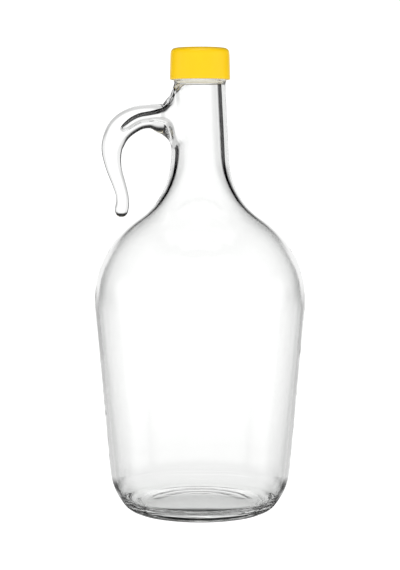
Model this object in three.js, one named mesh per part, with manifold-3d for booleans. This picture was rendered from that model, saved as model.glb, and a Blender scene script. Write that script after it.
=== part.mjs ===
// A clear glass jug with a hooked handle, closed by a yellow plastic screw cap.
// Millimetres, +Z up. The origin is the middle of the foot, at table height, and the handle is at -X.
import * as THREE from "three";
import { mergeVertices } from "three/addons/utils/BufferGeometryUtils.js";
import Module from "manifold-3d";

const wasm = await Module();
wasm.setup();

const degrees = THREE.MathUtils.degToRad;

// Outside of the glass, from the foot up. A slope is the angle of the outside line with the table.
const FOOT_RADIUS = 41.7;
const FOOT_WIDTH = 3.5;
const PUNT_HEIGHT = 6;
const LOWER_HEEL_RADIUS = 10.3;
const LOWER_HEEL_SLOPE = degrees(48);
const UPPER_HEEL_RADIUS = 38.6;
const WALL_SLOPE = degrees(84.9);
const WALL_LENGTH = 107.4;
const SHOULDER_RADIUS = 63.6;
const SHOULDER_SLOPE = degrees(146.8);
const NECK_SWEEP_RADIUS = 46.7;
const NECK_SLOPE = degrees(92.8);
const NECK_TOP = 280;

// Bead below the cap, and the plain finish that the cap goes over.
const BEAD_RADIUS = 0.7;
const FINISH_RADIUS = 17;
const FINISH_STEP = 0.4;
const LIP_RADIUS = 1.2;
const MOUTH_HEIGHT = 300.4;

// Inside of the glass: an even wall that thickens at the neck, and a floor that domes up over the punt.
const WALL = 2.4;
const NECK_WALL = 4.7;
const FLOOR_FILLET_RADIUS = 8;
const FLOOR_FILLET_SLOPE = degrees(60);
const FLOOR_DOME_SLOPE = degrees(8);

// Stations of the handle from the neck to its bulb end: middle x and z, half width, half depth, and how square
// the section is, from 2 for an oval to 4 for a flat bar with round edges.
const HANDLE_STATIONS = [
  [-8, 256.8, 21, 14, 2],
  [-13.6, 256.8, 21.6, 12.4, 2],
  [-16, 256.8, 21.4, 11.2, 2],
  [-17.6, 256.8, 19.4, 10.4, 2.1],
  [-19.3, 256.8, 15.6, 9.4, 2.2],
  [-21.6, 256.8, 12.2, 8.1, 2.4],
  [-25, 256.9, 9.8, 6.6, 2.8],
  [-29.85, 257.95, 8.25, 5.6, 3.4],
  [-34.3, 258, 7.6, 5.1, 4],
  [-40.5, 257, 7.95, 5, 4],
  [-47.3, 253.7, 8.3, 4.9, 4],
  [-52.7, 248.8, 8.15, 4.7, 4],
  [-56, 242.3, 7.5, 4.4, 4],
  [-57.4, 235.3, 6.55, 4, 4],
  [-56.1, 225, 5.1, 3.4, 4],
  [-53, 215.4, 4.4, 3.1, 4],
  [-50.8, 207.9, 4.05, 2.9, 4],
  [-50.4, 202.5, 4.3, 2.9, 4],
  [-51.1, 197.8, 4.5, 3, 3.6],
  [-51.3, 192.8, 4.4, 3, 3],
];

// Stations of the hollow that runs from the neck into the root of the handle.
const HOLLOW_STATIONS = [
  [-6, 258.5, 18, 11, 2],
  [-14.2, 258.5, 18.3, 7.9, 2],
  [-16.2, 258.5, 13.3, 6.9, 2],
  [-18.6, 258.5, 8.3, 5.6, 2],
  [-21.7, 258.4, 5.3, 4.2, 2],
  [-29.2, 258.3, 3.7, 3, 2],
  [-33.7, 257.8, 3.4, 2.7, 2],
  [-38.5, 257, 3.3, 2.6, 2],
  [-43.3, 254.8, 3.2, 2.5, 2],
  [-47, 252.2, 2.9, 2.4, 2],
  [-51.4, 248.9, 2.6, 2.2, 2],
];

// Screw cap: a smooth skirt that widens a little downwards, under a rounded top edge.
const CAP_BOTTOM = 281.8;
const CAP_TOP = 302.5;
const CAP_BOTTOM_RADIUS = 19.6;
const CAP_TOP_RADIUS = 19.15;
const CAP_EDGE_RADIUS = 3.3;
const CAP_RIM_RADIUS = 0.7;
const CAP_CROWN = 0.25;
const CAP_BORE_RADIUS = 18;
const CAP_BORE_HEIGHT = 300.75;
const CAP_BORE_EDGE_RADIUS = 1.2;

// Fineness of the facets, and lengths too short to matter.
const TURN_SEGMENTS = 44;
const ARC_TOLERANCE = 0.09;
const SAME_POINT = 1e-3;
const BORE_OVERRUN = 1;
const HANDLE_SIDES = 16;
const HANDLE_RINGS = 42;
const HOLLOW_SIDES = 12;
const HOLLOW_RINGS = 22;

// A profile in the (radius, height) plane, drawn onwards by lines and by arcs that keep its heading.
class Profile extends THREE.Path {
  constructor(radius, height, heading = 0) {
    super();
    this.moveTo(radius, height);
    this.heading = heading;
  }

  forward(length) {
    const { x, y } = this.currentPoint;
    return this.lineTo(x + length * Math.cos(this.heading), y + length * Math.sin(this.heading));
  }

  turn(radius, heading) {
    const side = Math.sign(heading - this.heading);
    const { x, y } = this.currentPoint;
    const from = this.heading - (side * Math.PI) / 2;
    const to = heading - (side * Math.PI) / 2;
    this.heading = heading;
    return this.absarc(x - radius * Math.cos(from), y - radius * Math.sin(from), radius, from, to, side < 0);
  }

  aim(heading) {
    this.heading = heading;
    return this;
  }

  points() {
    const steps = ({ xRadius, aStartAngle, aEndAngle }) =>
      Math.ceil(Math.abs(aEndAngle - aStartAngle) / (2 * Math.acos(1 - ARC_TOLERANCE / xRadius)));
    const all = this.curves.flatMap((curve) => curve.getPoints(curve.isEllipseCurve ? steps(curve) : 1));
    return all.filter((point, i) => i === 0 || point.distanceTo(all[i - 1]) > SAME_POINT);
  }
}

// The heel, wall, shoulder and neck, drawn at a depth inside the outer face that grows along the neck's sweep.
function drawBody(profile, depth, neckDepth) {
  const growth = (neckDepth - depth) / (1 - Math.cos(SHOULDER_SLOPE - NECK_SLOPE));
  profile.turn(UPPER_HEEL_RADIUS - depth, WALL_SLOPE).forward(WALL_LENGTH);
  profile.turn(SHOULDER_RADIUS - depth, SHOULDER_SLOPE);
  profile.turn(NECK_SWEEP_RADIUS + depth + growth, NECK_SLOPE);
  return profile.forward((NECK_TOP - profile.currentPoint.y) / Math.sin(NECK_SLOPE));
}

function outerProfile() {
  const puntEdge = FOOT_RADIUS - FOOT_WIDTH;
  const puntRadius = (puntEdge ** 2 + PUNT_HEIGHT ** 2) / (2 * PUNT_HEIGHT);
  const profile = new Profile(0, PUNT_HEIGHT);
  profile.turn(puntRadius, -Math.asin(puntEdge / puntRadius)).aim(0).forward(FOOT_WIDTH);
  profile.turn(LOWER_HEEL_RADIUS, LOWER_HEEL_SLOPE);
  const upperHeelFoot = profile.currentPoint.clone();
  drawBody(profile, 0, 0);
  profile.aim(0).turn(BEAD_RADIUS, Math.PI);
  profile.lineTo(FINISH_RADIUS, profile.currentPoint.y + FINISH_STEP);
  profile.lineTo(FINISH_RADIUS, MOUTH_HEIGHT - LIP_RADIUS);
  profile.aim(Math.PI / 2).turn(LIP_RADIUS, Math.PI);
  profile.lineTo(0, MOUTH_HEIGHT);
  return { profile, upperHeelFoot };
}

// The hollow of the jug, from the middle of its floor to just above the mouth.
function innerProfile(upperHeelFoot) {
  const normal = (slope) => new THREE.Vector2(Math.sin(slope), -Math.cos(slope));
  const heelCentre = upperHeelFoot.clone().addScaledVector(normal(LOWER_HEEL_SLOPE), -UPPER_HEEL_RADIUS);
  const filletReach = UPPER_HEEL_RADIUS - WALL - FLOOR_FILLET_RADIUS;
  const filletCentre = heelCentre.clone().addScaledVector(normal(FLOOR_FILLET_SLOPE), filletReach);
  const domeAndFillet = filletCentre.x / Math.sin(FLOOR_DOME_SLOPE);
  const domeRadius = domeAndFillet - FLOOR_FILLET_RADIUS;
  const floorHeight = filletCentre.y - domeAndFillet * Math.cos(FLOOR_DOME_SLOPE) + domeRadius;
  const profile = new Profile(0, floorHeight);
  profile.turn(domeRadius, -FLOOR_DOME_SLOPE).turn(FLOOR_FILLET_RADIUS, FLOOR_FILLET_SLOPE);
  drawBody(profile, WALL, NECK_WALL);
  profile.lineTo(profile.currentPoint.x, MOUTH_HEIGHT + BORE_OVERRUN);
  return profile.lineTo(0, MOUTH_HEIGHT + BORE_OVERRUN);
}

// A profile turned round the Z axis.
function turned(profile) {
  return new THREE.LatheGeometry(profile.points(), TURN_SEGMENTS).rotateX(Math.PI / 2);
}

// A round-ended limb in the XZ plane: a unit sphere stretched along its stations.
function limb(stations, sides, rings) {
  const path = new THREE.SplineCurve(stations.map(([x, z]) => new THREE.Vector2(x, z)));
  const sections = stations.map(([, , width, depth, squareness]) => new THREE.Vector3(width, depth, squareness));
  const girth = new THREE.CatmullRomCurve3(sections, false, "catmullrom");
  const endShare = 1 / (stations.length - 1);
  const geometry = new THREE.SphereGeometry(1, sides, rings);
  const position = geometry.getAttribute("position");
  const onSphere = new THREE.Vector3();
  for (let i = 0; i < position.count; i += 1) {
    onSphere.fromBufferAttribute(position, i);
    const along = (1 - onSphere.y) / 2;
    const fromEnd = Math.min(1, along / endShare, (1 - along) / endShare);
    const rounding = Math.sqrt(Math.max(0, 1 - (1 - fromEnd) ** 2));
    const middle = path.getPoint(along);
    const tangent = path.getTangent(along);
    const { x: width, y: depth, z: squareness } = girth.getPoint(along);
    const ring = (Math.abs(onSphere.x) ** squareness + Math.abs(onSphere.z) ** squareness) ** (1 / squareness) || 1;
    const across = (rounding * width * onSphere.x) / ring;
    const outOfPlane = (rounding * depth * onSphere.z) / ring;
    position.setXYZ(i, middle.x + tangent.y * across, outOfPlane, middle.y - tangent.x * across);
  }
  return geometry;
}

function solidOf(geometry) {
  const bare = new THREE.BufferGeometry();
  bare.setAttribute("position", geometry.getAttribute("position").clone());
  bare.setIndex(geometry.getIndex());
  const merged = mergeVertices(bare, SAME_POINT);
  const triVerts = new Uint32Array(merged.getIndex().array);
  const vertProperties = new Float32Array(merged.getAttribute("position").array);
  return new wasm.Manifold(new wasm.Mesh({ numProp: 3, vertProperties, triVerts }));
}

function geometryOf(solid) {
  const { vertProperties, triVerts } = solid.getMesh();
  const geometry = new THREE.BufferGeometry();
  geometry.setAttribute("position", new THREE.BufferAttribute(vertProperties, 3));
  geometry.setIndex(new THREE.BufferAttribute(triVerts, 1));
  geometry.computeVertexNormals();
  return geometry;
}

function makeJug() {
  const { profile, upperHeelFoot } = outerProfile();
  const outside = solidOf(turned(profile)).add(solidOf(limb(HANDLE_STATIONS, HANDLE_SIDES, HANDLE_RINGS)));
  const bore = solidOf(turned(innerProfile(upperHeelFoot)));
  const hollow = bore.add(solidOf(limb(HOLLOW_STATIONS, HOLLOW_SIDES, HOLLOW_RINGS)));
  const glass = new THREE.MeshStandardMaterial({ color: 0xe9eeea, roughness: 0.03, metalness: 0 });
  glass.transparent = true;
  glass.opacity = 0.35;
  const jug = new THREE.Mesh(geometryOf(outside.subtract(hollow)), glass);
  jug.name = "glass_jug";
  return jug;
}

function makeCap() {
  const profile = new Profile(0, CAP_BORE_HEIGHT);
  profile.forward(CAP_BORE_RADIUS - CAP_BORE_EDGE_RADIUS).turn(CAP_BORE_EDGE_RADIUS, -Math.PI / 2);
  profile.lineTo(CAP_BORE_RADIUS, CAP_BOTTOM);
  profile.lineTo(CAP_BOTTOM_RADIUS - CAP_RIM_RADIUS, CAP_BOTTOM);
  profile.aim(0).turn(CAP_RIM_RADIUS, Math.PI / 2);
  profile.lineTo(CAP_TOP_RADIUS, CAP_TOP - CAP_CROWN - CAP_EDGE_RADIUS);
  profile.aim(Math.PI / 2).turn(CAP_EDGE_RADIUS, Math.PI);
  profile.lineTo(0, CAP_TOP);
  const plastic = new THREE.MeshStandardMaterial({ color: 0xfdd420, roughness: 0.4, metalness: 0 });
  const cap = new THREE.Mesh(turned(profile), plastic);
  cap.name = "screw_cap";
  return cap;
}

const jugWithCap = new THREE.Group();
jugWithCap.add(makeJug(), makeCap());

export default jugWithCap;
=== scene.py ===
"""A clear glass jug with a hooked handle, closed by a yellow plastic screw cap.

Metres, +Z up. The origin is the middle of the foot, at table height, and the handle is at -X.
"""
import math

import bmesh
import bpy
import numpy as np
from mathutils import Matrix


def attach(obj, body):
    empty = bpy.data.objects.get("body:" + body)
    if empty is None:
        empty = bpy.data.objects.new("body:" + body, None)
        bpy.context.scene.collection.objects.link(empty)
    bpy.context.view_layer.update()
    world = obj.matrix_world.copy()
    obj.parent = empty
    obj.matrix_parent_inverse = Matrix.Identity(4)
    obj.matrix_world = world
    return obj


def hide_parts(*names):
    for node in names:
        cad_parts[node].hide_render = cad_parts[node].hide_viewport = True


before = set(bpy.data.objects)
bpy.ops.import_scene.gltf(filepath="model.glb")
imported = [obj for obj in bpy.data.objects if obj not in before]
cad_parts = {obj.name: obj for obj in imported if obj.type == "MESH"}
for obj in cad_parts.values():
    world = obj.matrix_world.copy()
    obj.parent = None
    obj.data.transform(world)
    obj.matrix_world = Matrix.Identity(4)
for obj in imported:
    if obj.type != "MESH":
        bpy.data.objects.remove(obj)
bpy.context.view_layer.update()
scene = bpy.context.scene

MM = 0.001
HALF_TURN = math.pi
QUARTER_TURN = math.pi / 2

# Outside of the glass, from the foot up. A slope is the angle of the outside line with the table.
FOOT_RADIUS = 41.7 * MM
FOOT_WIDTH = 3.5 * MM
FOOT_EDGE_RADIUS = 1.5 * MM
PUNT_HEIGHT = 6 * MM
LOWER_HEEL_RADIUS = 10.3 * MM
LOWER_HEEL_SLOPE = math.radians(48)
UPPER_HEEL_RADIUS = 38.6 * MM
WALL_SLOPE = math.radians(84.9)
WALL_LENGTH = 107.4 * MM
SHOULDER_RADIUS = 63.6 * MM
SHOULDER_SLOPE = math.radians(146.8)
NECK_SWEEP_RADIUS = 46.7 * MM
NECK_SLOPE = math.radians(92.8)
NECK_TOP = 280 * MM

# Bead below the cap, the plain finish that the cap goes over, and the mouth.
BEAD_RADIUS = 0.7 * MM
FINISH_RADIUS = 17 * MM
FINISH_STEP = 0.4 * MM
LIP_RADIUS = 1.2 * MM
MOUTH_HEIGHT = 300.4 * MM

# Inside of the glass.
WALL = 2.4 * MM
NECK_WALL = 4.7 * MM
FLOOR_FILLET_RADIUS = 8 * MM
FLOOR_FILLET_SLOPE = math.radians(60)
FLOOR_DOME_SLOPE = math.radians(8)

# Stations of the handle from the neck to its bulb end: middle x and z, half width, half depth, and how square
# the section is, from 2 for an oval to 4 for a flat bar with round edges.
STATION_UNITS = (MM, MM, MM, MM, 1)
HANDLE_STATIONS = STATION_UNITS * np.array([
    (-8, 256.8, 21, 14, 2),
    (-13.6, 256.8, 21.6, 12.4, 2),
    (-16, 256.8, 21.4, 11.2, 2),
    (-17.6, 256.8, 19.4, 10.4, 2.1),
    (-19.3, 256.8, 15.6, 9.4, 2.2),
    (-21.6, 256.8, 12.2, 8.1, 2.4),
    (-25, 256.9, 9.8, 6.6, 2.8),
    (-29.85, 257.95, 8.25, 5.6, 3.4),
    (-34.3, 258, 7.6, 5.1, 4),
    (-40.5, 257, 7.95, 5, 4),
    (-47.3, 253.7, 8.3, 4.9, 4),
    (-52.7, 248.8, 8.15, 4.7, 4),
    (-56, 242.3, 7.5, 4.4, 4),
    (-57.4, 235.3, 6.55, 4, 4),
    (-56.1, 225, 5.1, 3.4, 4),
    (-53, 215.4, 4.4, 3.1, 4),
    (-50.8, 207.9, 4.05, 2.9, 4),
    (-50.4, 202.5, 4.3, 2.9, 4),
    (-51.1, 197.8, 4.5, 3, 3.6),
    (-51.3, 192.8, 4.4, 3, 3),
])
HANDLE_ROOT_STATION = 6
HANDLE_ROOT_HEIGHTS = (232 * MM, NECK_TOP)
HANDLE_ROOT_COLUMNS = 16
HANDLE_RINGS = 36

# Stations of the hollow that runs from the neck into the root of the handle.
HOLLOW_STATIONS = STATION_UNITS * np.array([
    (-6, 258.5, 18, 11, 2),
    (-14.2, 258.5, 18.3, 7.9, 2),
    (-16.2, 258.5, 13.3, 6.9, 2),
    (-18.6, 258.5, 8.3, 5.6, 2),
    (-21.7, 258.4, 5.3, 4.2, 2),
    (-29.2, 258.3, 3.7, 3, 2),
    (-33.7, 257.8, 3.4, 2.7, 2),
    (-38.5, 257, 3.3, 2.6, 2),
    (-43.3, 254.8, 3.2, 2.5, 2),
    (-47, 252.2, 2.9, 2.4, 2),
    (-51.4, 248.9, 2.6, 2.2, 2),
])
HOLLOW_ROOT_STATION = 4
HOLLOW_ROOT_HEIGHTS = (235 * MM, 283 * MM)
HOLLOW_ROOT_COLUMNS = 17
HOLLOW_RINGS = 20

# Soft joint of a limb and the neck.
ROOT_BLEND = 5 * MM
ROOT_NEAR = 4 * MM
ROOT_REACH = 36 * MM
ROOT_FOOT = 215 * MM
ROOT_ROUNDS = 8
ROOT_NUDGE = 0.02 * MM
LINE_STEPS = 40
LINE_NUDGE = 1e-4
BULB_TURNS = QUARTER_TURN * np.array((0.25, 0.5, 0.75, 0.92))

# Knurls round the foot ring.
KNURLS = 96
KNURL_DEPTH = 0.35 * MM
KNURL_REACH = 3.2 * MM

# Screw cap: a smooth skirt that widens a little downwards, under a rounded top edge.
CAP_BOTTOM = 281.8 * MM
CAP_TOP = 302.5 * MM
CAP_BOTTOM_RADIUS = 19.6 * MM
CAP_TOP_RADIUS = 19.15 * MM
CAP_EDGE_RADIUS = 3.3 * MM
CAP_RIM_RADIUS = 0.7 * MM
CAP_CROWN = 0.25 * MM
CAP_BORE_RADIUS = 18 * MM
CAP_BORE_HEIGHT = 300.75 * MM
CAP_BORE_EDGE_RADIUS = 1.2 * MM

# Fineness of the cages that the smooth skins are drawn from.
COLUMNS = 96
ROW_STEP = 5 * MM
ARC_ROWS = 4
FLARE_RINGS = 7
SMOOTHING = 1

BLACK = (0, 0, 0, 1)
WHITE = (1, 1, 1, 1)

# Clear glass. The relief of its surface is in millimetres, and a scale is the number of waves in a metre.
GLASS_IOR = 1.52
FOOT_TINT = (0.955, 0.968, 0.955, 1)
GLASS_TINT = (0.995, 0.998, 0.995, 1)
TINT_HEIGHT = 14 * MM
WAVE_SCALE = 45.0
WAVE_RELIEF = 0.08
DRAWN_SCALES = (18, 18, 90)
DRAWN_RELIEF = 0.05
HEEL_SCALES = (14, 14, 420)
HEEL_RELIEF = 0.25
HEEL_HEIGHTS = (8 * MM, 18 * MM)
HAZE_SCALE = 160.0
HAZE = 0.004

# Yellow plastic. The bore is painted paler and given a painted glow, which stand in for light coming through
# the plastic.
PLASTIC_IOR = 1.5
PLASTIC_SHINE = 0.35
PLASTIC_YELLOWS = ((0.93, 0.585, 0.004, 1), (0.97, 0.62, 0.006, 1))
MOTTLE_SCALE = 90.0
GRAIN_SCALE = 1500.0
GRAIN_STRENGTH = 0.08
GRAIN_DEPTH = 0.1 * MM
PLASTIC_ROUGHNESS = 0.3
PLASTIC_MOTTLE = 0.08
PAINTED_BORE_LIGHT = (0.7, 0.69, 0.64, 1)
PAINTED_BORE_GLOW = (1.0, 0.95, 0.8, 1)
PAINTED_BORE_GLOW_STRENGTH = 0.5
BORE_MARGIN = np.array((0.1, 0.4)) * MM

# Studio. A turn is the angle from the view along the table, and a rise is the angle above the horizon, in
# degrees. Between the first two values of a row the glow goes from 1 to 0, or from its third value to its
# fourth. The two side cards count their turns from square to the view.
FLOOR_REACH = 6.0
FLOOR_GREY = (0.2, 0.2, 0.2, 1)
STUDIO_WHITE = 1.17
BACKDROP_TURNS = (4, 30)
BACKDROP_RISES = (-16, -7, 0.64, 1.0)
WING_TURNS = (31, 36)
WING_RISES = (-9, 0, 0.36, 0.78)
FRONT_TURNS = (105, 125, 0.0, 0.6)
CARD_TURNS = (6, 24, 0.7, 0.0)
CEILING_RISES = (8, 20)
TABLE_RISES = (-13, 2, 0.56, 0.0)
NEAR_TABLE_RISES = ((-50, -15, 0.95, 0.0), (-65, -38, 0.95, 0.0))
NEAR_TABLE_TURNS = (25, 50)

# Shade on the table under the foot, which only shows through the glass: a lit middle, a dark ring round it
# that fades outwards, a lit strip behind, a lit band far in front, and two dim crescents in the lit middle.
SHADE_REACH = 120 * MM
SHADE_DEPTH = 0.3 * MM
SHADE_GLOW = 0.98
MIDDLE_FRONT = (-34 * MM, -22 * MM)
MIDDLE_EDGE = (44 * MM, 50 * MM)
RING_FADE = (84 * MM, 120 * MM, 0.07, 0.55)
STRIP_FRONT = (0.0, 26 * MM)
STRIP_EDGE = (56 * MM, 78 * MM)
BAND_BACK = (-45 * MM, -15 * MM)
BAND_EDGE = (74 * MM, 92 * MM, 0.0, 0.8)
CRESCENT_INSIDE = (26 * MM, 30 * MM)
CRESCENT_OUTSIDE = (33 * MM, 37 * MM)
CRESCENT_SIDE = (20 * MM, 27 * MM)
CRESCENT_FRONT = (0.0, 8 * MM)
CRESCENT_DIMNESS = 0.7

# Lamps on the cap: name, place, size, power in watts, and whether the cap mirrors it.
LAMPS = (
    ("key", (0.0, -0.75, 1.15), (1.1, 0.45), 5.6, True),
    ("left_fill", (-1.75, -0.8, 0.6), (1.2, 1.2), 13.5, False),
    ("right_fill", (1.75, -0.8, 0.6), (1.2, 1.2), 13.5, False),
)
LAMP_AIM = (0.0, 0.0, 0.29)
GLASS_BOUNCES = 32
GLOSS_BOUNCES = 16

CAMERA_DISTANCE = 1085 * MM
CAMERA_HEIGHT = 236.4 * MM
CAMERA_TILT = math.radians(4.642)
CAMERA_LENS = 105


# Shader expressions


class Wire:
    """A socket of a shader. Arithmetic on wires adds Math nodes."""

    def __init__(self, tree, socket=None):
        self.tree = tree
        self.socket = socket

    def node(self, kind, settings=None, inputs=None, output=0):
        """Adds a node, sets it up, feeds its sockets with values or wires, and gives one output."""
        added = self.tree.nodes.new(kind)
        for name, setting in (settings or {}).items():
            setattr(added, name, setting)
        for name, value in (inputs or {}).items():
            if isinstance(value, Wire):
                self.tree.links.new(value.socket, added.inputs[name])
            else:
                added.inputs[name].default_value = value
        return Wire(self.tree, added.outputs[output])

    def math(self, operation, *values):
        return self.node("ShaderNodeMath", {"operation": operation}, dict(enumerate(values)))

    def __add__(self, other):
        return self.math("ADD", self, other)

    def __sub__(self, other):
        return self.math("SUBTRACT", self, other)

    def __rsub__(self, other):
        return self.math("SUBTRACT", other, self)

    def __mul__(self, other):
        return self.math("MULTIPLY", self, other)

    __radd__ = __add__
    __rmul__ = __mul__


def noise(start, place, scale, detail=2.0):
    """Soft noise with features about 1 / scale metres across."""
    settings = {"noise_dimensions": "3D"}
    return start.node("ShaderNodeTexNoise", settings, {"Vector": place, "Scale": scale, "Detail": detail})


def ramp(value, low, high, at_low=0.0, at_high=1.0):
    """An eased change from at_low to at_high as value goes from low to high."""
    inputs = {"Value": value, "From Min": low, "From Max": high, "To Min": at_low, "To Max": at_high}
    return value.node("ShaderNodeMapRange", {"interpolation_type": "SMOOTHSTEP"}, inputs)


def blend(factor, first, second):
    """A colour between two colours."""
    inputs = {"Factor": factor, 6: first, 7: second}
    return factor.node("ShaderNodeMix", {"data_type": "RGBA"}, inputs, output=2)


def stretched(start, place, scales):
    """The place with a scale of its own along each axis."""
    return start.node("ShaderNodeVectorMath", {"operation": "MULTIPLY"}, {0: place, 1: scales})


def along_axes(start, place, axes):
    """The parts of a place along the named axes."""
    return [start.node("ShaderNodeSeparateXYZ", inputs={0: place}, output=axis) for axis in axes]


def turned_radius(start, place):
    """The distance from the jug's axis."""
    x, y = along_axes(start, place, "XY")
    return x.math("SQRT", x * x + y * y)


def new_material(name):
    """An empty Principled material: the material, its shader, and a wire to start from."""
    material = bpy.data.materials.new(name)
    material.use_nodes = True
    shader = material.node_tree.nodes["Principled BSDF"]
    return material, shader, Wire(material.node_tree)


def feed(start, shader, **sockets):
    """Links wires to the shader's sockets, or sets plain values on them."""
    for name, value in sockets.items():
        socket = shader.inputs[name.replace("_", " ")]
        if isinstance(value, Wire):
            start.tree.links.new(value.socket, socket)
        else:
            socket.default_value = value


# Finishes


def clear_glass():
    """Clear container glass: a faint unevenness from the mould, and a trace of grey-green in the base."""
    material, shader, start = new_material("clear_glass")
    place = start.node("ShaderNodeTexCoord", output="Object")
    height, = along_axes(start, place, "Z")
    tint = blend(ramp(height, 0.0, TINT_HEIGHT), FOOT_TINT, GLASS_TINT)
    waves = WAVE_RELIEF * noise(start, place, WAVE_SCALE)
    waves = waves + DRAWN_RELIEF * noise(start, stretched(start, place, DRAWN_SCALES), 1.0)
    heel_waves = noise(start, stretched(start, place, HEEL_SCALES), 1.0)
    waves = waves + HEEL_RELIEF * ramp(height, *HEEL_HEIGHTS, 1.0, 0.0) * heel_waves
    relief = start.node("ShaderNodeBump", inputs={"Distance": MM, "Height": waves})
    haze = HAZE * noise(start, place, HAZE_SCALE)
    feed(start, shader, Base_Color=tint, Roughness=haze, Normal=relief)
    feed(start, shader, IOR=GLASS_IOR, Transmission_Weight=1.0)
    return material


def yellow_plastic():
    """Moulded yellow plastic: satin gloss, hardly mottled, with a fine moulded grain, and painted light in
    the bore.
    """
    material, shader, start = new_material("yellow_plastic")
    place = start.node("ShaderNodeTexCoord", output="Object")
    height, = along_axes(start, place, "Z")
    mottle = noise(start, place, MOTTLE_SCALE)
    grain = {"Strength": GRAIN_STRENGTH, "Distance": GRAIN_DEPTH, "Height": noise(start, place, GRAIN_SCALE)}
    relief = start.node("ShaderNodeBump", inputs=grain)
    gloss = PLASTIC_ROUGHNESS + PLASTIC_MOTTLE * mottle
    # Painted light: the bore is blended to a paler colour and made to glow, standing in for light coming
    # through the plastic.
    painted_glow_mask = ramp(turned_radius(start, place), *(CAP_BORE_RADIUS + BORE_MARGIN), 1.0, 0.0)
    painted_glow_mask = painted_glow_mask * ramp(height, *(CAP_BORE_HEIGHT + BORE_MARGIN), 1.0, 0.0)
    colour = blend(painted_glow_mask, blend(mottle, *PLASTIC_YELLOWS), PAINTED_BORE_LIGHT)
    feed(start, shader, Base_Color=colour, Roughness=gloss, Normal=relief)
    feed(start, shader, IOR=PLASTIC_IOR, Specular_IOR_Level=PLASTIC_SHINE)
    feed(start, shader, Emission_Color=blend(painted_glow_mask, BLACK, PAINTED_BORE_GLOW), Emission_Strength=PAINTED_BORE_GLOW_STRENGTH)
    return material


def white_floor():
    """A pale even sheet that glows like a lit table."""
    material, shader, start = new_material("white_floor")
    feed(start, shader, Base_Color=FLOOR_GREY, Roughness=1.0, Specular_IOR_Level=0.0)
    feed(start, shader, Emission_Color=WHITE, Emission_Strength=STUDIO_WHITE)
    return material


def foot_shade():
    """The light and dark of the table under the foot."""
    material, shader, start = new_material("foot_shade")
    place = start.node("ShaderNodeTexCoord", output="Object")
    x, y = along_axes(start, place, "XY")
    sideways = x.math("ABSOLUTE", x)
    radius = turned_radius(start, place)
    crescents = ramp(radius, *CRESCENT_INSIDE) * ramp(radius, *CRESCENT_OUTSIDE, 1.0, 0.0)
    crescents = crescents * ramp(sideways, *CRESCENT_SIDE) * ramp(y, *CRESCENT_FRONT)
    undimmed = 1 - CRESCENT_DIMNESS * crescents
    lit = ramp(y, *MIDDLE_FRONT) * ramp(radius, *MIDDLE_EDGE, 1.0, 0.0) * undimmed
    ring = ramp(radius, *RING_FADE)
    strip = ramp(y, *STRIP_FRONT) * ramp(sideways, *STRIP_EDGE, 1.0, 0.0) * undimmed
    band = ramp(y, *BAND_BACK, 1.0, 0.0) * ramp(radius, *BAND_EDGE)
    for part in (ring, strip, band):
        lit = lit.math("MAXIMUM", lit, part)
    feed(start, shader, Base_Color=BLACK, Roughness=1.0, Specular_IOR_Level=0.0)
    feed(start, shader, Emission_Color=blend(lit, BLACK, WHITE), Emission_Strength=SHADE_GLOW)
    return material


# Outlines


class Outline:
    """A line in the plane of radius and height, drawn on by straights and by arcs that keep its heading."""

    def __init__(self, radius, height, heading=0.0):
        self.points = [(radius, height)]
        self.heading = heading

    def aim(self, heading):
        self.heading = heading
        return self

    def to(self, radius, height):
        start = np.array(self.points[-1])
        way = np.array((radius, height)) - start
        steps = max(1, round(np.linalg.norm(way) / ROW_STEP))
        self.points += [tuple(start + way * (i + 1) / steps) for i in range(steps)]
        return self

    def forward(self, length):
        radius, height = self.points[-1]
        return self.to(radius + length * math.cos(self.heading), height + length * math.sin(self.heading))

    def turn(self, bend, heading):
        bend *= math.copysign(1, heading - self.heading)
        radius, height = self.points[-1]
        middle = (radius - bend * math.sin(self.heading), height + bend * math.cos(self.heading))
        steps = max(ARC_ROWS, round(abs(bend * (heading - self.heading)) / ROW_STEP))
        for angle in np.linspace(self.heading, heading, steps + 1)[1:]:
            self.points.append((middle[0] + bend * math.sin(angle), middle[1] - bend * math.cos(angle)))
        self.heading = heading
        return self


def draw_body(outline, depth, neck_depth):
    """Heel, wall, shoulder and neck at a depth inside the outer face that grows along the neck's sweep."""
    growth = (neck_depth - depth) / (1 - math.cos(SHOULDER_SLOPE - NECK_SLOPE))
    outline.turn(UPPER_HEEL_RADIUS - depth, WALL_SLOPE).forward(WALL_LENGTH)
    outline.turn(SHOULDER_RADIUS - depth, SHOULDER_SLOPE)
    outline.turn(NECK_SWEEP_RADIUS + depth + growth, NECK_SLOPE)
    return outline.forward((NECK_TOP - outline.points[-1][1]) / math.sin(NECK_SLOPE))


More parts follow.
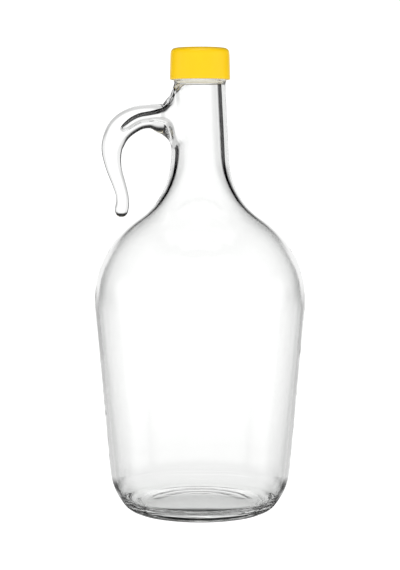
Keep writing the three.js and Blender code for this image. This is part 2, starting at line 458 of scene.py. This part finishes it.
def jug_outlines():
    """The outside from the middle of the punt to the lip, and the inside from the middle of the floor."""
    punt_edge = FOOT_RADIUS - FOOT_WIDTH
    punt_radius = (punt_edge**2 + PUNT_HEIGHT**2) / (2 * PUNT_HEIGHT)
    punt_slope = math.asin(punt_edge / punt_radius)
    outside = Outline(0.0, PUNT_HEIGHT + FOOT_EDGE_RADIUS * (1 - math.cos(punt_slope)))
    outside.turn(punt_radius, -punt_slope).turn(FOOT_EDGE_RADIUS, 0.0)
    outside.to(FOOT_RADIUS, 0.0).turn(LOWER_HEEL_RADIUS, LOWER_HEEL_SLOPE)
    heel_foot = np.array(outside.points[-1])
    draw_body(outside, 0.0, 0.0)
    outside.aim(0.0).turn(BEAD_RADIUS, HALF_TURN)
    outside.to(FINISH_RADIUS, outside.points[-1][1] + FINISH_STEP)
    outside.to(FINISH_RADIUS, MOUTH_HEIGHT - LIP_RADIUS)
    outside.aim(QUARTER_TURN).turn(LIP_RADIUS, HALF_TURN)

    def across(slope):
        return np.array((math.sin(slope), -math.cos(slope)))

    heel_middle = heel_foot - UPPER_HEEL_RADIUS * across(LOWER_HEEL_SLOPE)
    fillet_reach = UPPER_HEEL_RADIUS - WALL - FLOOR_FILLET_RADIUS
    fillet_middle = heel_middle + fillet_reach * across(FLOOR_FILLET_SLOPE)
    dome_and_fillet = fillet_middle[0] / math.sin(FLOOR_DOME_SLOPE)
    dome_radius = dome_and_fillet - FLOOR_FILLET_RADIUS
    inside = Outline(0.0, fillet_middle[1] - dome_and_fillet * math.cos(FLOOR_DOME_SLOPE) + dome_radius)
    inside.turn(dome_radius, -FLOOR_DOME_SLOPE).turn(FLOOR_FILLET_RADIUS, FLOOR_FILLET_SLOPE)
    draw_body(inside, WALL, NECK_WALL)
    inside.to(inside.points[-1][0], MOUTH_HEIGHT - LIP_RADIUS).aim(QUARTER_TURN).turn(LIP_RADIUS, 0.0)
    return outside.points, inside.points


def cap_outline():
    """The cap from the middle of its bore, round the rim, to the middle of its top."""
    cap = Outline(0.0, CAP_BORE_HEIGHT)
    cap.forward(CAP_BORE_RADIUS - CAP_BORE_EDGE_RADIUS).turn(CAP_BORE_EDGE_RADIUS, -QUARTER_TURN)
    cap.to(CAP_BORE_RADIUS, CAP_BOTTOM).to(CAP_BOTTOM_RADIUS - CAP_RIM_RADIUS, CAP_BOTTOM)
    cap.aim(0.0).turn(CAP_RIM_RADIUS, QUARTER_TURN)
    cap.to(CAP_TOP_RADIUS, CAP_TOP - CAP_CROWN - CAP_EDGE_RADIUS)
    cap.aim(QUARTER_TURN).turn(CAP_EDGE_RADIUS, HALF_TURN).to(0.0, CAP_TOP)
    return cap.points


# Skins


def ring_faces(skin, first, second, left_out=()):
    """Faces between two rings of points, or between a ring and a single point."""
    count = max(len(first), len(second))
    for i in range(count):
        if i in left_out:
            continue
        j = (i + 1) % count
        corners = [first[i % len(first)], first[j % len(first)]]
        corners += [second[j % len(second)], second[i % len(second)]]
        skin.faces.new(dict.fromkeys(corners))


def turned_rings(skin, points):
    """Rings of an outline turned round Z, with the first column at -X. On the axis a ring is one point."""
    rings = []
    for radius, height in points:
        count = COLUMNS if radius > 0 else 1
        turns = HALF_TURN + 2 * HALF_TURN * np.arange(count) / count
        rings.append([skin.verts.new((radius * math.cos(t), radius * math.sin(t), height)) for t in turns])
    return rings


def root_loop(rings, rows, columns):
    """The points round a field of faces on the neck, from its top middle."""
    low, high = rows
    sideways = list(range(columns + 1))
    upward = range(low, high, 1 if high > low else -1)
    right = [rings[high][c] for c in sideways] + [rings[r][columns] for r in reversed(upward)]
    left = [rings[high][-c] for c in sideways] + [rings[r][-columns] for r in reversed(upward)]
    bottom_right = [rings[low][c] for c in reversed(sideways[:-1])]
    bottom_left = [rings[low][-c] for c in reversed(sideways[1:-1])]
    return right + bottom_right + list(reversed(left[1:] + bottom_left))


def station_at(stations, share):
    """The smooth line through the stations, at a share of the way from the first to the last."""
    last = len(stations) - 1
    i = min(int(share * last), last - 1)
    f = share * last - i
    start, end = stations[i], stations[i + 1]
    leave = (end - stations[max(i - 1, 0)]) / 2
    arrive = (stations[min(i + 2, last)] - start) / 2
    bend = 3 * (end - start) - 2 * leave - arrive
    twist = 2 * (start - end) + leave + arrive
    return start + leave * f + bend * f**2 + twist * f**3


def limb_ring(stations, share, angles, fullness=1.0):
    """A ring square to a limb's middle line."""
    x, z, half_width, half_depth, squareness = station_at(stations, share)
    before, after = max(share - LINE_NUDGE, 0), min(share + LINE_NUDGE, 1)
    ahead = station_at(stations, after) - station_at(stations, before)
    along = np.array((ahead[0], 0.0, ahead[1])) / math.hypot(ahead[0], ahead[1])
    outwards = np.array((along[2], 0.0, -along[0]))
    across = np.array((0.0, 1.0, 0.0))
    widths, depths = np.cos(angles), np.sin(angles)
    swell = fullness / (np.abs(widths)**squareness + np.abs(depths)**squareness)**(1 / squareness)
    sweep = np.outer(swell * widths * half_width, outwards) + np.outer(swell * depths * half_depth, across)
    return np.array((x, 0.0, z)) + sweep


def grow_limb(skin, loop, stations, root_station, ring_count):
    """A limb that starts from a loop of points on the neck and ends round. Gives its own points."""
    last = len(stations) - 1
    start = np.array([point.co for point in loop])
    middle = (start.max(axis=0) + start.min(axis=0)) / 2
    reach = (start.max(axis=0) - start.min(axis=0)) / 2
    angles = np.arctan2((start[:, 1] - middle[1]) / reach[1], (start[:, 2] - middle[2]) / reach[2])

    root = root_station / last
    first = limb_ring(stations, root, angles)
    places = [start + (first - start) * (i + 1) / (FLARE_RINGS + 1) for i in range(FLARE_RINGS)]
    bulb = 1 / last
    for share in np.linspace(root, 1 - bulb, ring_count):
        places.append(limb_ring(stations, share, angles))
    for turn in BULB_TURNS:
        share = 1 - bulb * (1 - math.sin(turn))
        places.append(limb_ring(stations, share, angles, math.cos(turn)))

    rings = [loop] + [[skin.verts.new(point) for point in place] for place in places]
    x, z = stations[-1][:2]
    rings.append([skin.verts.new((x, 0.0, z))])
    for ring, next_ring in zip(rings, rings[1:]):
        ring_faces(skin, ring, next_ring)
    return [point for ring in rings[1:] for point in ring]


def root_gap(stations, neck):
    """A measure of how far points lie outside the neck and a limb that grows out of it, softly joined."""
    shares = np.linspace(0, 1, LINE_STEPS * (len(stations) - 1) + 1)
    line = np.array([station_at(stations, share) for share in shares])
    ahead = np.gradient(line, axis=0)
    radii, heights = np.array(sorted(neck, key=lambda point: point[1])).T

    def gap(points):
        flat = points[:, [0, 2]]
        near = np.argmin(np.sum((flat[:, None] - line[None, :, :2])**2, axis=2), axis=1)
        stride = np.linalg.norm(ahead[near, :2], axis=1)
        along = ahead[near, :2] / stride[:, None]
        offset = flat - line[near, :2]
        section = line[near] + ahead[near] * (np.sum(offset * along, axis=1) / stride)[:, None]
        across = offset[:, 0] * along[:, 1] - offset[:, 1] * along[:, 0]
        wide = np.abs(across) / section[:, 2]
        deep = np.abs(points[:, 1]) / section[:, 3]
        squareness = section[:, 4]
        fill = (wide**squareness + deep**squareness)**(1 / squareness)
        from_limb = np.hypot(across, points[:, 1]) * (1 - 1 / fill)
        from_neck = np.hypot(points[:, 0], points[:, 1]) - np.interp(points[:, 2], heights, radii)
        overlap = np.maximum(ROOT_BLEND - np.abs(from_limb - from_neck), 0) / ROOT_BLEND
        return np.minimum(from_limb, from_neck) - overlap**3 * ROOT_BLEND / 6

    return gap


def settle_root(vertices, gap):
    """Moves the points near a root onto the joined surface."""
    near = [v for v in vertices if -ROOT_REACH < v.co.x < -ROOT_NEAR]
    points = np.array([v.co for v in near])
    for _ in range(ROOT_ROUNDS):
        nudges = ROOT_NUDGE * np.eye(3)
        slope = np.stack([gap(points + n) - gap(points - n) for n in nudges], axis=1) / (2 * ROOT_NUDGE)
        points -= slope * (gap(points) / np.sum(slope**2, axis=1))[:, None]
    for vertex, point in zip(near, points):
        vertex.co = point


def new_piece(name, skin, finish):
    """An object of a smooth closed skin, drawn finely from its cage."""
    bmesh.ops.delete(skin, geom=[point for point in skin.verts if not point.link_faces], context="VERTS")
    bmesh.ops.recalc_face_normals(skin, faces=skin.faces)
    cage = bpy.data.meshes.new(name + "_cage")
    skin.to_mesh(cage)
    skin.free()
    piece = bpy.data.objects.new(name, cage)
    scene.collection.objects.link(piece)
    rounding = piece.modifiers.new("rounding", "SUBSURF")
    rounding.levels = rounding.render_levels = SMOOTHING
    fine = bpy.data.meshes.new_from_object(piece.evaluated_get(bpy.context.evaluated_depsgraph_get()))
    fine.name = name
    piece.modifiers.clear()
    piece.data = fine
    bpy.data.meshes.remove(cage)
    fine.shade_smooth()
    fine.materials.append(finish)
    return piece


# Pieces


def knurl_foot(jug):
    """Cuts fine knurls into the foot ring by lifting the hollows between them."""
    points = np.empty(len(jug.data.vertices) * 3)
    jug.data.vertices.foreach_get("co", points)
    points = points.reshape(-1, 3)
    radius = np.hypot(points[:, 0], points[:, 1])
    ring = FOOT_RADIUS - FOOT_WIDTH / 2
    nearness = np.clip(1 - np.abs(radius - ring) / KNURL_REACH, 0, 1) * (points[:, 2] < KNURL_REACH / 2)
    turn = np.arctan2(points[:, 1], points[:, 0])
    hollow = 0.5 - 0.5 * np.cos(KNURLS * turn)
    points[:, 2] += KNURL_DEPTH * hollow * np.sqrt(nearness)
    jug.data.vertices.foreach_set("co", points.ravel())
    jug.data.update()


def nearest_row(points, height, rows):
    """The row of an outline that is nearest to a height."""
    return min(rows, key=lambda row: abs(points[row][1] - height))


def make_jug():
    """The glass: one skin from the punt up the outside, over the lip and down the inside to the floor."""
    outside, inside = jug_outlines()
    points = outside + inside[::-1]
    skin = bmesh.new()
    rings = turned_rings(skin, points)
    neck_rows = {
        "outer": [r for r in range(len(outside)) if points[r][1] < NECK_TOP + BEAD_RADIUS / 2],
        "inner": [r for r in range(len(outside), len(points)) if points[r][1] < MOUTH_HEIGHT],
    }
    handle = (HANDLE_ROOT_HEIGHTS, HANDLE_ROOT_COLUMNS, HANDLE_STATIONS, HANDLE_ROOT_STATION, HANDLE_RINGS)
    hollow = (HOLLOW_ROOT_HEIGHTS, HOLLOW_ROOT_COLUMNS, HOLLOW_STATIONS, HOLLOW_ROOT_STATION, HOLLOW_RINGS)
    fields = {}
    for face, limb_values in (("outer", handle), ("inner", hollow)):
        heights, columns, stations, root_station, ring_count = limb_values
        rows = [row for row in neck_rows[face] if points[row][1] > ROOT_FOOT]
        low, high = (nearest_row(points, height, rows) for height in heights)
        for row in range(min(low, high), max(low, high)):
            fields[row] = {column % COLUMNS for column in range(-columns, columns)}
        loop = root_loop(rings, (low, high), columns)
        limb = grow_limb(skin, loop, stations, root_station, ring_count)
        neck = [vertex for row in rows for vertex in rings[row]]
        settle_root(neck + limb, root_gap(stations, [points[row] for row in rows]))
    for row, (first, second) in enumerate(zip(rings, rings[1:])):
        ring_faces(skin, first, second, fields.get(row, ()))
    jug = new_piece("jug_glass", skin, clear_glass())
    knurl_foot(jug)
    return jug


def make_cap():
    """The screw cap, turned from its outline."""
    skin = bmesh.new()
    rings = turned_rings(skin, cap_outline())
    for first, second in zip(rings, rings[1:]):
        ring_faces(skin, first, second)
    return new_piece("jug_cap", skin, yellow_plastic())


# Studio


def lay_sheet(name, corners, finish):
    """A flat sheet of the studio, which isn't part of the jug."""
    sheet = bpy.data.meshes.new(name)
    sheet.from_pydata(corners, [], [range(len(corners))])
    sheet.materials.append(finish)
    laid = bpy.data.objects.new(name, sheet)
    scene.collection.objects.link(laid)
    return laid


def lay_floor():
    corners = [(x * FLOOR_REACH, y * FLOOR_REACH, 0.0) for x, y in ((-1, -1), (1, -1), (1, 1), (-1, 1))]
    floor = lay_sheet("floor", corners, white_floor())
    floor.visible_glossy = False
    floor.visible_transmission = False


def shade_foot():
    """The shade lies just below the floor, which hides it, but rays through the glass meet it."""
    turns = 2 * HALF_TURN * np.arange(COLUMNS) / COLUMNS
    rim = [(SHADE_REACH * math.cos(t), SHADE_REACH * math.sin(t), -SHADE_DEPTH) for t in turns]
    lay_sheet("foot_shade", rim, foot_shade())


def light_walls():
    """Soft white walls round the jug with dark gaps between, over a dim table and under a dark ceiling."""
    world = bpy.data.worlds.new("studio")
    world.use_nodes = True
    scene.world = world
    start = Wire(world.node_tree)
    x, y, z = along_axes(start, start.node("ShaderNodeTexCoord", output="Generated"), "XYZ")
    turn = x.math("ABSOLUTE", x.math("ARCTAN2", x, y))
    rise = z.math("ARCSINE", z)

    def glow(angle, low, high, at_low=1.0, at_high=0.0):
        return ramp(angle, *np.radians((low, high)), at_low, at_high)

    backdrop = glow(turn, *BACKDROP_TURNS) * glow(rise, *BACKDROP_RISES)
    wings = glow(turn, *WING_TURNS) * glow(rise, *WING_RISES)
    front = glow(turn, *FRONT_TURNS)
    cards = glow(turn.math("ABSOLUTE", turn - QUARTER_TURN), *CARD_TURNS)
    below_ceiling = glow(rise, *CEILING_RISES)
    walls = [wall * below_ceiling for wall in (backdrop, wings, front, cards)]
    table = glow(rise, *TABLE_RISES)
    behind, beside = (glow(rise, *rises) for rises in NEAR_TABLE_RISES)
    near_table = beside + (behind - beside) * glow(turn, *NEAR_TABLE_TURNS)
    lit = start.node("ShaderNodeLightPath", output="Is Camera Ray")
    for part in (*walls, table, near_table):
        lit = lit.math("MAXIMUM", lit, part)
    background = world.node_tree.nodes["Background"]
    world.node_tree.links.new(blend(lit, BLACK, WHITE).socket, background.inputs["Color"])
    background.inputs["Strength"].default_value = STUDIO_WHITE


def hang_lamps(cap):
    """Soft lamps above the front that light the cap alone."""
    lit = bpy.data.collections.new("lamp_lit")
    lit.objects.link(cap)
    for name, place, size, power, mirrored in LAMPS:
        lamp = bpy.data.lights.new(name, "AREA")
        lamp.shape = "RECTANGLE"
        lamp.size, lamp.size_y = size
        lamp.energy = power
        holder = bpy.data.objects.new(name, lamp)
        holder.location = place
        aim = np.array(LAMP_AIM) - np.array(place)
        tilt = math.atan2(math.hypot(aim[0], aim[1]), -aim[2])
        holder.rotation_euler = (tilt, 0.0, math.atan2(-aim[0], aim[1]))
        holder.light_linking.receiver_collection = lit
        holder.visible_camera = False
        holder.visible_glossy = mirrored
        scene.collection.objects.link(holder)


def place_camera():
    eye = bpy.data.cameras.new("camera")
    eye.lens = CAMERA_LENS
    holder = bpy.data.objects.new("camera", eye)
    holder.location = (0.0, -CAMERA_DISTANCE, CAMERA_HEIGHT)
    holder.rotation_euler = (QUARTER_TURN - CAMERA_TILT, 0.0, 0.0)
    scene.collection.objects.link(holder)
    scene.camera = holder


def main():
    jug, cap = make_jug(), make_cap()
    for piece, node, finish in ((jug, "glass_jug", "clear_glass"), (cap, "screw_cap", "yellow_plastic")):
        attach(piece, "root")
        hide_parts(node)
    lay_floor()
    shade_foot()
    light_walls()
    hang_lamps(cap)
    place_camera()
    scene.view_settings.view_transform = "Standard"
    scene.cycles.max_bounces = GLASS_BOUNCES
    scene.cycles.transmission_bounces = GLASS_BOUNCES
    scene.cycles.glossy_bounces = GLOSS_BOUNCES


main()
